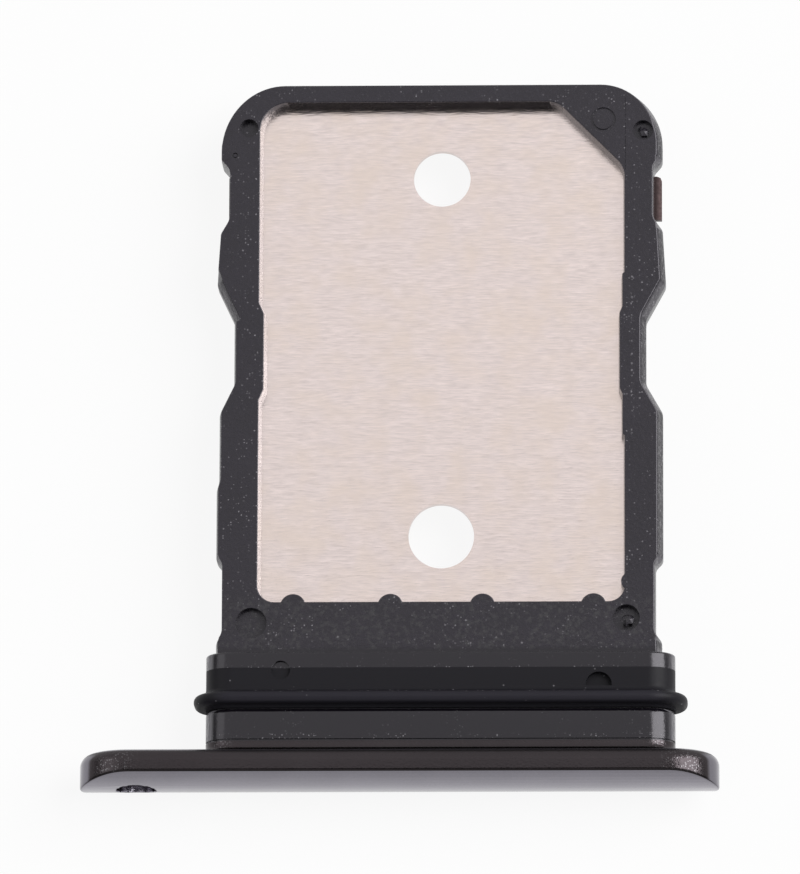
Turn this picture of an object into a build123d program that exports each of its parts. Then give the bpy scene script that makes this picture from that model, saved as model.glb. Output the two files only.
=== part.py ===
from build123d import *
import os
from math import atan2, degrees

# Lengths are in millimetres. X runs across the tray, Y from the door towards the card end, Z up.
# The origin lies under the middle of the tray's footprint, level with the door's lower edge.

# Door: the metal bar that closes the slot, with a crowned face and a hole for the eject pin
door_width = 15.6
door_height = 2.44
door_thickness = 0.85
door_face_radius = 2.8
door_front_round = 0.1
door_back_round = 0.3
pin_hole_diameter = 1.0
pin_hole_inset = 1.37
pin_hole_rim = 0.05

# Stub on the door's back, and the tongue that anchors it in the carrier
stub_length = 0.24
stub_root_round = 0.08
tongue_width = 8.0
tongue_height = 0.5
tongue_length = 0.9

# Neck: the plug behind the door, set in from the door's two ends by different margins
neck_margin_left = 3.07
neck_margin_right = 1.07
neck_height = 1.6
neck_corner = 0.65
neck_corner_share = 0.49
neck_length = 0.82
flange_length = 0.39

# Seal: a rubber ring in a groove of the neck, with a lip that wipes the slot
seal_length = 0.99
seal_depth = 0.3
lip_rise = 0.3
lip_length = 0.31
lip_setback = 0.075
lip_nose_share = 0.48

# Card pocket, with one cut corner that keys the card
pocket_width = 9.0
pocket_length = 12.555
pocket_depth = 0.6
pocket_near_round = 0.4
pocket_far_round = 0.7
key_cut = 1.65
key_round = 0.5

# Carrier: the moulded rails and bars round the pocket
carrier_thickness = 1.2
rail_width = 0.94
near_bar = 1.28
far_bar = 0.455
far_corner_left = 1.7
far_corner_right = 1.52
edge_bevel_width = 0.14
edge_bevel_height = 0.35
outline_round = 0.15

# Waist: each rail is thinned at the pocket's middle, so that its inner bulge can spring
waist_length = 1.62
waist_depth = 0.39
waist_near_run = 0.72
waist_far_run = 0.9
shoulder_rise = 0.08
grip_length = 1.9
grip_rise = 0.12
grip_run = 0.28
grip_shelf_length = 4.2
grip_shelf_rise = 0.05

# Reliefs in the rails' outer edges, one beside the plate's tabs and one at the near bar,
# and a shallow guide pad on the left rail, just beyond the near relief
tab_relief_inset = 2.315
tab_relief_length = 1.26
tab_relief_depth = 0.21
tab_relief_run = 0.24
root_relief_inset = 0.16
root_relief_length = 1.5
root_relief_left = 0.09
root_relief_right = 0.18
root_relief_run = 0.18
guide_pad_length = 1.75
guide_pad_rise = 0.06
guide_pad_run = 0.2

# Card stops: half-round bumps on the near edge, and a small one on the right rail
stop_radius = 0.32
stop_rise = 0.2
outer_stop_inset_left = 0.9
outer_stop_inset_right = 0.76
inner_stop_left = 1.22
inner_stop_right = 1.03
side_stop_radius = 0.22
side_stop_rise = 0.09
side_stop_inset = 0.5

# Floor plate: spring steel with its edges moulded into the carrier
plate_thickness = 0.2
plate_margin = 0.22
plate_corner_round = 0.5
near_hole_diameter = 1.61
near_hole_inset = 1.75
far_hole_diameter = 1.4
far_hole_inset = 1.805
tab_width = 1.1
tab_stub_right = 0.19
tab_stub_left = 0.03

# Stations along the tray, from the crown of the door to the card end
overall_length = (
    door_thickness + stub_length + neck_length + seal_length + flange_length
    + near_bar + pocket_length + far_bar
)
door_front = -overall_length / 2
door_back = door_front + door_thickness
neck_start = door_back + stub_length
seal_start = neck_start + neck_length
flange_start = seal_start + seal_length
flange_end = flange_start + flange_length
pocket_start = flange_end + near_bar
pocket_middle = pocket_start + pocket_length / 2
pocket_end = pocket_start + pocket_length
card_end = pocket_end + far_bar

# Levels: door, neck and carrier share one middle plane
middle_level = door_height / 2
carrier_bottom = middle_level - carrier_thickness / 2
carrier_top = middle_level + carrier_thickness / 2
plate_top = carrier_top - pocket_depth
plate_bottom = plate_top - plate_thickness

# The neck and the carrier share a centre line, which lies off the door's own
neck_width = door_width - neck_margin_left - neck_margin_right
neck_offset = (neck_margin_left - neck_margin_right) / 2

# Half widths of the carrier, from that centre line
pocket_half = pocket_width / 2
rail_half = pocket_half + rail_width
plate_half = pocket_half + plate_margin
relief_half = rail_half - tab_relief_depth


def drawn_along_y(section, start, length):
    """Draw a section of the XZ plane out towards the card end."""
    plane = Plane(origin=(0, start, middle_level), x_dir=(1, 0, 0), z_dir=(0, -1, 0))
    return extrude(plane * section, amount=-length)


def drawn_up(outline, bottom, top):
    """Draw an outline of the XY plane, given about the carrier's centre line, up between two levels."""
    return extrude(Pos(neck_offset, 0, bottom) * outline, amount=top - bottom)


def neck_section(growth):
    """Rounded section of the neck, grown or shrunk by an even offset all round."""
    height = neck_height + 2 * growth
    corner = min(neck_corner + growth, neck_corner_share * height)
    return Pos(neck_offset, 0) * RectangleRounded(neck_width + 2 * growth, height, corner)


def edges_in_plane(part, station):
    """Edges of a part that lie in the upright plane at a station."""
    return part.edges().filter_by_position(Axis.Y, station, station)


def tongue():
    """Flat tongue behind the stub, which the carrier is moulded round."""
    section = Pos(neck_offset, 0) * Rectangle(tongue_width, tongue_height)
    return drawn_along_y(section, neck_start, tongue_length)


def face_plate():
    """Door with its crowned face, eject hole, stub and tongue."""
    bar = drawn_along_y(SlotOverall(door_width, door_height), door_front, door_thickness)
    crown_axis = Plane(
        origin=(0, door_front + door_face_radius, middle_level), x_dir=(0, 1, 0), z_dir=(1, 0, 0)
    )
    crown = extrude(crown_axis * Circle(door_face_radius), amount=door_width, both=True)
    bar &= crown
    bar = fillet(edges_in_plane(bar, door_back), door_back_round)
    front_edges = bar.faces().filter_by(GeomType.CYLINDER).sort_by(Axis.Y)[0].edges()
    bar = fillet(front_edges, door_front_round)

    stub = drawn_along_y(neck_section(0), door_back, stub_length)
    door = bar + stub
    root_edges = [
        edge
        for edge in edges_in_plane(door, door_back)
        if abs(edge.center().X - neck_offset) <= neck_width / 2
        and abs(edge.center().Z - middle_level) <= neck_height / 2
    ]
    door = fillet(root_edges, stub_root_round)

    hole_section = Pos(pin_hole_inset - door_width / 2, 0) * Circle(pin_hole_diameter / 2)
    hole = drawn_along_y(hole_section, door_front - pin_hole_rim, door_thickness + pin_hole_rim)
    drilled = door - hole
    rim = new_edges(door, hole, combined=drilled)
    return chamfer(rim, pin_hole_rim) + tongue()


def pocket_outline():
    """Card pocket seen from above: keyed corner, card stops and the spring bulges of the rails."""
    pocket = Pos(0, pocket_middle) * Rectangle(pocket_width, pocket_length)
    pocket = chamfer(pocket.vertices().sort_by(lambda v: v.X + v.Y)[-1], key_cut)
    pocket = fillet(pocket.vertices().sort_by(lambda v: v.X + v.Y)[-2:], key_round)
    pocket = fillet(pocket.vertices().sort_by(lambda v: v.Y - v.X)[-1], pocket_far_round)
    pocket = fillet(pocket.vertices().group_by(Axis.Y)[0], pocket_near_round)

    stop_spots = (
        outer_stop_inset_left - pocket_half,
        -inner_stop_left,
        inner_stop_right,
        pocket_half - outer_stop_inset_right,
    )
    for spot in stop_spots:
        pocket -= Pos(spot, pocket_start + stop_rise - stop_radius) * Circle(stop_radius)
    side_stop = Pos(pocket_half + side_stop_radius - side_stop_rise, pocket_start + side_stop_inset)
    pocket -= side_stop * Circle(side_stop_radius)

    for side in (-1, 1):
        pocket -= spring_bulge(side, grip_length, grip_rise)
    pocket -= spring_bulge(1, grip_shelf_length, grip_shelf_rise)
    return pocket


def spring_bulge(side, length, rise):
    """Low flat-topped bulge on a rail's inner face, at the middle of the pocket."""
    wall = side * (pocket_half + rise)
    top = side * (pocket_half - rise)
    foot = length / 2 + 2 * grip_run
    return make_face(
        Polyline(
            (wall, pocket_middle - foot),
            (top, pocket_middle - length / 2),
            (top, pocket_middle + length / 2),
            (wall, pocket_middle + foot),
            close=True,
        )
    )


def rail_edge(root_relief_depth, pad_rise):
    """Bends of one rail's outer edge, from the flange to the card end, as half widths and stations."""
    waist_half = rail_half - waist_depth
    root_half = rail_half - root_relief_depth
    pad_half = rail_half + pad_rise
    root_middle = pocket_start + root_relief_inset
    root_near = root_middle - root_relief_length / 2
    root_far = root_middle + root_relief_length / 2
    pad_near = root_far + root_relief_run
    pad_far = pad_near + guide_pad_length
    waist_near = pocket_middle - waist_length / 2
    waist_far = pocket_middle + waist_length / 2
    relief_middle = pocket_end - tab_relief_inset
    relief_near = relief_middle - tab_relief_length / 2
    relief_far = relief_middle + tab_relief_length / 2
    near_bends = [
        (rail_half, flange_start),
        (rail_half, root_near - root_relief_run),
        (root_half, root_near),
        (root_half, root_far),
        (pad_half, pad_near),
    ]
    pad_bends = [(pad_half, pad_far), (rail_half, pad_far + guide_pad_run)] if pad_rise else []
    far_bends = [
        (rail_half, waist_near - waist_near_run),
        (waist_half, waist_near),
        (waist_half, waist_far),
        (rail_half + shoulder_rise, waist_far + waist_far_run),
        (rail_half, relief_near - tab_relief_run),
        (relief_half, relief_near),
        (relief_half, relief_far),
        (rail_half, relief_far + tab_relief_run),
        (rail_half, card_end),
    ]
    return near_bends + pad_bends + far_bends


def carrier_outline():
    """Outer edge of the carrier seen from above."""
    right_side = rail_edge(root_relief_right, 0)
    left_side = [(-half, station) for half, station in reversed(rail_edge(root_relief_left, guide_pad_rise))]
    outline = make_face(Polyline(*right_side, *left_side, close=True))
    bends = [vertex for group in outline.vertices().group_by(Axis.Y)[1:-1] for vertex in group]
    outline = fillet(bends, outline_round)
    outline = fillet(outline.vertices().group_by(Axis.Y)[-1].sort_by(Axis.X)[0], far_corner_left)
    return fillet(outline.vertices().group_by(Axis.Y)[-1].sort_by(Axis.X)[-1], far_corner_right)


def plate_outline():
    """Edge of the floor plate, with the sheared stubs of its carrier tabs."""
    plate = Pos(0, pocket_middle) * RectangleRounded(
        2 * plate_half, pocket_length + 2 * plate_margin, plate_corner_round
    )
    tab_middle = pocket_end - tab_relief_inset
    tab_left = -(relief_half + tab_stub_left)
    tab_right = relief_half + tab_stub_right
    tab_centre = (tab_left + tab_right) / 2
    return plate + Pos(tab_centre, tab_middle) * Rectangle(tab_right - tab_left, tab_width)


def floor_plate():
    """Steel floor of the pocket, with a round hole near each end."""
    plate = plate_outline()
    plate -= Pos(0, pocket_start + near_hole_inset) * Circle(near_hole_diameter / 2)
    plate -= Pos(0, pocket_end - far_hole_inset) * Circle(far_hole_diameter / 2)
    return drawn_up(plate, plate_bottom, plate_top)


def bevelled_carrier():
    """Blank of the carrier: an upright edge band, tapered in towards the top and the underside."""
    outline = carrier_outline()
    band_bottom = carrier_bottom + edge_bevel_height
    band_top = carrier_top - edge_bevel_height
    slope = degrees(atan2(edge_bevel_width, edge_bevel_height))
    rim = Pos(neck_offset, 0, band_bottom) * outline
    lower_taper = extrude(rim, amount=edge_bevel_height, dir=(0, 0, -1), taper=slope)
    upper_taper = mirror(lower_taper, about=Plane.XY.offset(middle_level))
    return drawn_up(outline, band_bottom, band_top) + lower_taper + upper_taper


def tray_frame():
    """Moulded carrier: bevelled rails round the pocket, and the grooved neck behind the door."""
    carrier = bevelled_carrier()
    neck = drawn_along_y(neck_section(0), neck_start, neck_length)
    core = drawn_along_y(neck_section(-seal_depth), seal_start, seal_length)
    flange = drawn_along_y(neck_section(0), flange_start, flange_length)
    carrier += neck + core + flange

    window = Pos(0, pocket_middle) * RectangleRounded(pocket_width, pocket_length, pocket_near_round)
    carrier -= drawn_up(pocket_outline(), plate_top, carrier_top)
    carrier -= drawn_up(window, carrier_bottom, plate_bottom)
    carrier -= drawn_up(plate_outline(), plate_bottom, plate_top)
    return carrier - tongue()


def seal_ring():
    """Rubber ring that fills the neck's groove, with a round lip near the door."""
    ring = drawn_along_y(neck_section(0), seal_start, seal_length)
    lip_start = seal_start + lip_setback
    lip = drawn_along_y(neck_section(lip_rise), lip_start, lip_length)
    lip_ends = edges_in_plane(lip, lip_start) + edges_in_plane(lip, lip_start + lip_length)
    lip = fillet(lip_ends, lip_nose_share * lip_length)
    ring += lip
    return ring - drawn_along_y(neck_section(-seal_depth), seal_start, seal_length)


nodes = {
    "face_plate": face_plate(),
    "tray_frame": tray_frame(),
    "floor_plate": floor_plate(),
    "seal_ring": seal_ring(),
}

os.makedirs("parts", exist_ok=True)
for name, solid in nodes.items():
    export_step(solid, f"parts/{name}.step")
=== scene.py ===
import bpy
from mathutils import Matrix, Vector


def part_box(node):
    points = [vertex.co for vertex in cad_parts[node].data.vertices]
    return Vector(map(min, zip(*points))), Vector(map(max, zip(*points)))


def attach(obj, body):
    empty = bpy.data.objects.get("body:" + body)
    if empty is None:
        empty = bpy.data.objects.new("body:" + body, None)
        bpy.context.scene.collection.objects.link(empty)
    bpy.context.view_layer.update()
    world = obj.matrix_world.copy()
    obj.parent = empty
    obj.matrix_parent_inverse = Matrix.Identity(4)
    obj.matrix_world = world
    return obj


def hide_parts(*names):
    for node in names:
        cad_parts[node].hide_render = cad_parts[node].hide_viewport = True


bl_info = {
    "name": "Sim card tray",
    "version": (1, 0, 0),
    "blender": (4, 5, 0),
    "location": "View3D > Sidebar > Sim tray",
    "description": "Models the pieces of a sim card tray on its solid frame, and a plain stage to see it on",
    "category": "Add Mesh",
}

from math import cos, hypot, pi, radians, sin, tan
from types import SimpleNamespace

import bmesh
import bpy
from bpy.props import FloatProperty, FloatVectorProperty, PointerProperty
from bpy.types import Operator, Panel, PropertyGroup
from mathutils import Matrix, Vector

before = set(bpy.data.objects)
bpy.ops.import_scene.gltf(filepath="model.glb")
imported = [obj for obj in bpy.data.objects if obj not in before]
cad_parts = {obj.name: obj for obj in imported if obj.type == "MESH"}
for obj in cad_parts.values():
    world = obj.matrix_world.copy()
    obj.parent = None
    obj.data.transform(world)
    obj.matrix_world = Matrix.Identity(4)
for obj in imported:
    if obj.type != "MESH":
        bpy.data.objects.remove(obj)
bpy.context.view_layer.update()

# Pieces are modelled on a bench where one unit is a millimetre, and brought to true size at the end.
MM = 0.001


def bench_box(node):
    """Lowest and highest corner of a solid, in millimetres."""
    low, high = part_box(node)
    return Vector(low) / MM, Vector(high) / MM


door_low, door_high = bench_box("face_plate")
frame_low, frame_high = bench_box("tray_frame")
seal_low, seal_high = bench_box("seal_ring")
plate_low, plate_high = bench_box("floor_plate")

# The neck and the carrier share a centre line and a middle level.
centre = (frame_low.x + frame_high.x) / 2
middle = (frame_low.z + frame_high.z) / 2
neck_width = frame_high.x - frame_low.x
neck_height = frame_high.z - frame_low.z
lip_rise = (seal_high.z - seal_low.z - neck_height) / 2
seal_top = middle + neck_height / 2
plate_middle = (plate_low + plate_high) / 2

# The rails hold the plate by its margin, and its tabs lie in the middle of the far reliefs.
plate_half = 4.72
plate_margin = 0.22
relief_inset = 2.315

# Places closer than a hair are the same, and tools reach past what they cut by an overrun.
hair = 1e-4
overrun = 0.5


def length(name, description, millimetres):
    """A size that the user may change, given in millimetres and kept in metres."""
    return FloatProperty(
        name=name, description=description, default=millimetres * MM, min=0.0, unit="LENGTH", precision=6
    )


def angle(name, description, degrees):
    """An angle that the user may change, given in degrees and kept in radians."""
    return FloatProperty(name=name, description=description, default=radians(degrees), subtype="ANGLE")


def colour(name, description, *linear):
    """A colour that the user may change, as linear red, green and blue."""
    return FloatVectorProperty(
        name=name, description=description, default=linear, size=3, min=0.0, max=1.0, subtype="COLOR"
    )


class DoorSizes(PropertyGroup):
    """Sizes of the door"""

    thickness: length("Thickness", "Door from its crown to its flat back", 0.85)
    face_radius: length("Face radius", "Radius of the crown across the door's face", 2.8)
    front_round: length("Front round", "Rounding of the edge of the face", 0.05)
    back_round: length("Back round", "Rounding of the back edge", 0.3)
    hole_diameter: length("Hole diameter", "Hole for the eject pin", 1.0)
    hole_inset: length("Hole inset", "Centre of the pin hole from the door's left end", 1.37)
    hole_rim: length("Hole rim", "Break of the edge of the pin hole", 0.03)
    stub_root: length("Stub root", "Fillet where the stub meets the door", 0.15)


class CarrierSizes(PropertyGroup):
    """Sizes of the carrier and its neck"""

    thickness: length("Thickness", "Height of the rails", 1.2)
    pocket_width: length("Pocket width", "Card pocket across the tray", 9.0)
    pocket_length: length("Pocket length", "Card pocket along the tray", 12.555)
    rail_width: length("Rail width", "Rail between the pocket and the outer edge", 0.94)
    far_bar: length("Far bar", "Bar at the card end", 0.455)
    far_left: length("Far left corner", "Rounding of the left corner at the card end", 1.7)
    far_right: length("Far right corner", "Rounding of the right corner at the card end", 1.52)
    bevel_width: length("Bevel width", "Slope of the outer edge, seen from above", 0.14)
    bevel_height: length("Bevel height", "Slope of the outer edge, seen from the side", 0.35)
    key_cut: length("Key cut", "Cut corner that keys the card", 1.65)
    side_draft: length("Side draft", "Lean of the pocket's long walls over their height", 0.035)
    end_draft: length("End draft", "Lean of the pocket's short walls over their height", 0.02)
    neck_corner: length("Neck corner", "Rounding of the neck's section", 0.65)
    flange: length("Flange", "Flange behind the seal, along the tray", 0.39)
    groove: length("Groove", "Depth of the seal's groove", 0.3)
    groove_round: length("Groove round", "Rounding of the neck's edge beside the seal", 0.14)
    edge_round: length("Edge round", "Softness of the moulded edges", 0.03)


class SealSizes(PropertyGroup):
    """Sizes of the seal"""

    lip_length: length("Lip length", "Lip along the tray", 0.31)
    lip_setback: length("Lip setback", "Lip from the seal's near end", 0.075)
    nose: length("Nose", "Rounding of the lip's nose", 0.148)
    cove: length("Cove", "Hollow at the lip's far foot", 0.14)
    near_cove: length("Near cove", "Hollow at the lip's near foot", 0.06)


class PlateSizes(PropertyGroup):
    """Sizes of the floor plate"""

    corner: length("Corner", "Rounding of the plate's corners", 0.5)
    near_hole: length("Near hole", "Diameter of the hole near the door", 1.61)
    near_inset: length("Near inset", "Centre of the near hole from the pocket's near wall", 1.75)
    far_hole: length("Far hole", "Diameter of the hole near the card end", 1.4)
    far_inset: length("Far inset", "Centre of the far hole from the pocket's far wall", 1.805)
    tab_width: length("Tab width", "Sheared tab along the tray", 1.1)


class FinishColours(PropertyGroup):
    """Colours of the pieces and the floor"""

    moulding: colour("Moulding", "Black glass-filled plastic of the carrier", 0.0085, 0.0068, 0.0110)
    # Painted reflection: this colour lightens the neck's rounded ends in place of the bright floor they
    # mirror.
    painted_end_sheen: colour("Rubbed", "Plastic of the neck's rounded ends, polished by the slot", 0.19, 0.185, 0.20)
    fleck: colour("Fleck", "Pale ends of the fibres in the moulding", 0.26, 0.25, 0.27)
    door: colour("Door", "Dark anodised metal of the door", 0.055, 0.0475, 0.051)
    # Painted glints: this colour lights pale flecks on the door's blasted ends.
    bead: colour("Bead", "Sparks that bead blasting left on the door's rounded ends", 0.15, 0.143, 0.15)
    # Painted reflection: the face colour is lighter than the door's own, in place of the bright floor
    # mirrored on the face and rounded ends.
    face: colour("Face", "Satin anodised face of the door", 0.22, 0.21, 0.24)
    steel: colour("Steel", "Brushed steel of the floor plate", 0.73, 0.633, 0.612)
    sheared: colour("Sheared", "Browned steel of the sheared tabs", 0.085, 0.061, 0.061)
    rubber: colour("Rubber", "Black rubber of the seal", 0.0070, 0.0064, 0.0090)
    floor: colour("Floor", "Pale floor under the tray", 0.86, 0.86, 0.86)


class StageSettings(PropertyGroup):
    """Where the camera stands"""

    distance: length("Distance", "Camera from the tray", 260.0)
    tilt: angle("Tilt", "Lean of the camera towards the door", 12.24)
    side: angle("Side", "Lean of the camera to the right", 2.0)
    roll: angle("Roll", "Turn of the picture", 0.22)
    scale: FloatProperty(
        name="Scale", description="Pixels of the picture to a millimetre of the tray", default=40.726
    )


def put_down():
    """Leave edit mode and let go of everything."""
    if bpy.context.mode != "OBJECT":
        bpy.ops.object.mode_set(mode="OBJECT")
    bpy.ops.object.select_all(action="DESELECT")


def take_up(piece, mode="OBJECT"):
    """Make a piece the only one in hand, in object or edit mode."""
    put_down()
    piece.select_set(True)
    bpy.context.view_layer.objects.active = piece
    bpy.ops.object.mode_set(mode=mode)


def pick(piece, kind, test):
    """Select just those vertices, edges or faces that pass a test."""
    bpy.ops.mesh.select_mode(type=kind)
    bpy.ops.mesh.select_all(action="DESELECT")
    mesh = bmesh.from_edit_mesh(piece.data)
    members = {"VERT": mesh.verts, "EDGE": mesh.edges, "FACE": mesh.faces}[kind]
    picked = [member for member in members if test(member)]
    if not picked:
        raise RuntimeError(f"{piece.name}: no {kind.lower()} passes the test")
    for member in picked:
        member.select_set(True)
    bmesh.update_edit_mesh(piece.data)


def trace(name, corners):
    """Walk an outline from corner to corner and fill it. The piece stays in edit mode."""
    put_down()
    bpy.ops.mesh.primitive_plane_add(size=1, location=corners[0])
    piece = bpy.context.object
    piece.name = name
    bpy.ops.object.transform_apply()
    bpy.ops.object.mode_set(mode="EDIT")
    bpy.ops.mesh.select_mode(type="VERT")
    bpy.ops.mesh.select_all(action="SELECT")
    bpy.ops.mesh.merge(type="CENTER")
    for here, there in zip(corners, corners[1:]):
        step = Vector(there) - Vector(here)
        bpy.ops.mesh.extrude_vertices_move(TRANSFORM_OT_translate={"value": step})
    bpy.ops.mesh.select_all(action="SELECT")
    bpy.ops.mesh.edge_face_add()
    return piece


def round_corners(piece, test, reach, segments):
    """Round the corners of an outline, starting at a distance from each."""
    pick(piece, "VERT", lambda vertex: test(vertex.co))
    bpy.ops.mesh.bevel(offset=reach, segments=segments, affect="VERTICES")
    bpy.ops.mesh.select_all(action="SELECT")
    bpy.ops.mesh.remove_doubles(threshold=hair)


def ease_edges(piece, test, reach, segments=3):
    """Round the edges whose two ends both pass a test."""
    pick(piece, "EDGE", lambda edge: all(test(vertex.co) for vertex in edge.verts))
    bpy.ops.mesh.bevel(offset=reach, segments=segments, affect="EDGES")


def draw_out(y=0.0, z=0.0):
    """Extrude what is selected along the tray or upwards."""
    bpy.ops.mesh.extrude_region_move(TRANSFORM_OT_translate={"value": (0, y, z)})


def draw_block(piece, y=0.0, z=0.0):
    """Extrude a whole outline into a block. Its far cap stays selected."""
    pick(piece, "FACE", lambda face: True)
    draw_out(y, z)


def face_outwards():
    """Merge doubles and turn every face outwards, on the piece in edit mode."""
    bpy.ops.mesh.select_all(action="SELECT")
    bpy.ops.mesh.remove_doubles(threshold=hair / 10)
    bpy.ops.mesh.normals_make_consistent(inside=False)


def bridge_rims():
    """Join the two open rims of the piece in edit mode."""
    bpy.ops.mesh.select_mode(type="EDGE")
    bpy.ops.mesh.select_all(action="DESELECT")
    bpy.ops.mesh.select_non_manifold()
    bpy.ops.mesh.bridge_edge_loops()


def join_solids(piece, tool, operation):
    """Cut a piece with a tool, or weld the tool on, and put the tool away."""
    take_up(tool, "EDIT")
    face_outwards()
    take_up(piece)
    bpy.ops.object.modifier_add(type="BOOLEAN")
    change = piece.modifiers[-1]
    change.operation = operation
    change.solver = "EXACT"
    change.object = tool
    bpy.ops.object.modifier_apply(modifier=change.name)
    bpy.data.objects.remove(tool)


def cylinder(name, place, radius, depth, sides, turn=(0, 0, 0)):
    """Cylinder round a place, turned from upright."""
    put_down()
    bpy.ops.mesh.primitive_cylinder_add(
        vertices=sides, radius=radius, depth=depth, location=place, rotation=turn
    )
    piece = bpy.context.object
    piece.name = name
    bpy.ops.object.transform_apply()
    return piece


def peg(name, x, y, low, high, radius, sides=48):
    """Round upright peg between two levels."""
    return cylinder(name, (x, y, (low + high) / 2), radius, high - low, sides)


def oblong(name, half, start, end, level, corner):
    """Rounded oblong round the centre line, at a level. Stays in edit mode."""
    sides = ((-half, start), (half, start), (half, end), (-half, end))
    piece = trace(name, [(centre + x, y, level) for x, y in sides])
    round_corners(piece, lambda place: True, corner, 8)
    return piece


def plate_blank(name, corner):
    """Floor plate without its holes and tabs. Stays in edit mode."""
    blank = oblong(name, plate_half, plate_low.y, plate_high.y, plate_low.z, corner)
    draw_block(blank, z=plate_high.z - plate_low.z)
    return blank


def neck_corners(y, growth=0.0):
    """Corners of the neck's section at a station, grown by an even offset."""
    x = neck_width / 2 + growth
    z = neck_height / 2 + growth
    return [(centre + i * x, y, middle + k * z) for i, k in ((-1, -1), (1, -1), (1, 1), (-1, 1))]


def neck_bar(name, start, end, corner, growth=0.0):
    """Rounded bar along the tray with the neck's section. Stays in edit mode, its far cap selected."""
    bar = trace(name, neck_corners(start, growth))
    round_corners(bar, lambda place: True, corner + growth, 14)
    draw_block(bar, y=end - start)
    return bar


def on_neck_section(place, corner, growth):
    """Whether a place lies on the neck's section, grown by an even offset."""
    x = max(abs(place.x - centre) - (neck_width / 2 - corner), 0.0)
    z = max(abs(place.z - middle) - (neck_height / 2 - corner), 0.0)
    slack = 5e-3
    return abs(hypot(x, z) - corner - growth) < slack


def settle(piece, node, finish):
    """Bring a finished piece from the bench to its true size, and let it stand for its solid."""
    take_up(piece, "EDIT")
    face_outwards()
    take_up(piece)
    piece.scale = (MM, MM, MM)
    bpy.ops.object.transform_apply()
    bpy.ops.object.shade_smooth_by_angle(angle=radians(32))
    bpy.ops.object.modifier_add(type="WEIGHTED_NORMAL")
    piece.modifiers[-1].keep_sharp = True
    bpy.ops.object.modifier_apply(modifier=piece.modifiers[-1].name)
    piece.data.materials.clear()
    piece.data.materials.append(finish)
    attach(piece, "root")
    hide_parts(node)


def in_millimetres(group):
    """Sizes of a property group in the bench's millimetres."""
    return SimpleNamespace(**{key: getattr(group, key) / MM for key in group.__annotations__})


def laid(operation, swapped=False):
    """Operator of a wire that lays a math node."""

    def lay(self, other=0.0):
        first, second = (other, self) if swapped else (self, other)
        return self.bench.node("ShaderNodeMath", {"operation": operation}, {0: first, 1: second})

    return lay


class Wire:
    """A node's output. Sums and products of wires and numbers lay their own math nodes."""

    def __init__(self, bench, socket):
        self.bench = bench
        self.socket = socket

    __add__ = laid("ADD")
    __radd__ = laid("ADD", swapped=True)
    __sub__ = laid("SUBTRACT")
    __rsub__ = laid("SUBTRACT", swapped=True)
    __mul__ = laid("MULTIPLY")
    __rmul__ = laid("MULTIPLY", swapped=True)
    __gt__ = laid("GREATER_THAN")
    __lt__ = laid("LESS_THAN")
    __or__ = laid("MAXIMUM")
    __abs__ = laid("ABSOLUTE")


class NodeBench:
    """Lays and joins the nodes of one finish."""

    def __init__(self, tree):
        self.tree = tree
        tree.nodes.clear()

    def node(self, kind, settings=None, sockets=None, output=0):
        """One node of a kind: its settings come first, then the values or wires of its sockets."""
        made = self.tree.nodes.new(kind)
        for key, value in (settings or {}).items():
            setattr(made, key, value)
        for key, value in (sockets or {}).items():
            if isinstance(value, Wire):
                self.tree.links.new(value.socket, made.inputs[key])
            else:
                made.inputs[key].default_value = value
        return Wire(self, made.outputs[output]) if made.outputs else None

    def blend(self, share, first, second):
        """Colour between two others."""
        ends = {0: share, 6: first, 7: second}
        return self.node("ShaderNodeMix", {"data_type": "RGBA"}, ends, 2)

    def place(self, x=1.0, y=1.0, z=1.0):
        """Object coordinates, each stretched by its own scale."""
        here = self.node("ShaderNodeTexCoord", output="Object")
        return self.node("ShaderNodeMapping", None, {"Vector": here, "Scale": (x, y, z)})

    def grain(self, place, scale=1.0, detail=2.0):
        """Cloudy noise between 0 and 1."""
        return self.node("ShaderNodeTexNoise", None, {"Vector": place, "Scale": scale, "Detail": detail})

    def ramp(self, value, low, high, start=0.0, end=1.0):
        """Even rise from a start to an end value between two limits."""
        span = {"Value": value, "From Min": low, "From Max": high, "To Min": start, "To Max": end}
        return self.node("ShaderNodeMapRange", None, span)

    def band(self, value, low, high):
        """Even rise between two limits in millimetres."""
        return self.ramp(value, low * MM, high * MM)

    def line(self, value, station, outer, inner):
        """Stripe along a station that fades from an inner to an outer distance, in millimetres."""
        return self.band(abs(value - station * MM), outer, inner)

    def flecks(self, place, scale, size, share):
        """Small round flecks in a share of the cells of a scattered pattern."""
        cells = {"Vector": place, "Scale": scale}
        distance = self.node("ShaderNodeTexVoronoi", None, cells, "Distance")
        cell = self.node("ShaderNodeTexVoronoi", None, cells, "Color")
        lot = self.node("ShaderNodeSeparateColor", None, {"Color": cell}, "Red")
        return self.ramp(distance, size, 0.4 * size) * (lot > 1.0 - share)

    def part(self, vector, axis):
        """One part of a vector."""
        return self.node("ShaderNodeSeparateXYZ", None, {0: vector}, axis)

    def lean(self, axis="Z"):
        """Size of one part of the normal: upright, it is 1 on level faces and 0 on walls."""
        return abs(self.part(self.node("ShaderNodeTexCoord", output="Normal"), axis))

    def bump(self, height, rise):
        """Normals of a fine relief of that rise in metres."""
        return self.node("ShaderNodeBump", None, {"Height": height, "Strength": 1.0, "Distance": rise})

    def surface(self, sockets):
        """Principled shader on the output."""
        shader = self.node("ShaderNodeBsdfPrincipled", None, sockets)
        self.node("ShaderNodeOutputMaterial", None, {"Surface": shader})


def new_finish(name):
    """Empty material, and the bench for its nodes."""
    material = bpy.data.materials.new(name)
    material.use_nodes = True
    return material, NodeBench(material.node_tree)


BLACK = (0.0, 0.0, 0.0, 1.0)


def opaque(linear, gain=1.0):
    """Colour with its alpha, lighter or darker by a gain."""
    return (*(gain * channel for channel in linear), 1.0)


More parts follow.
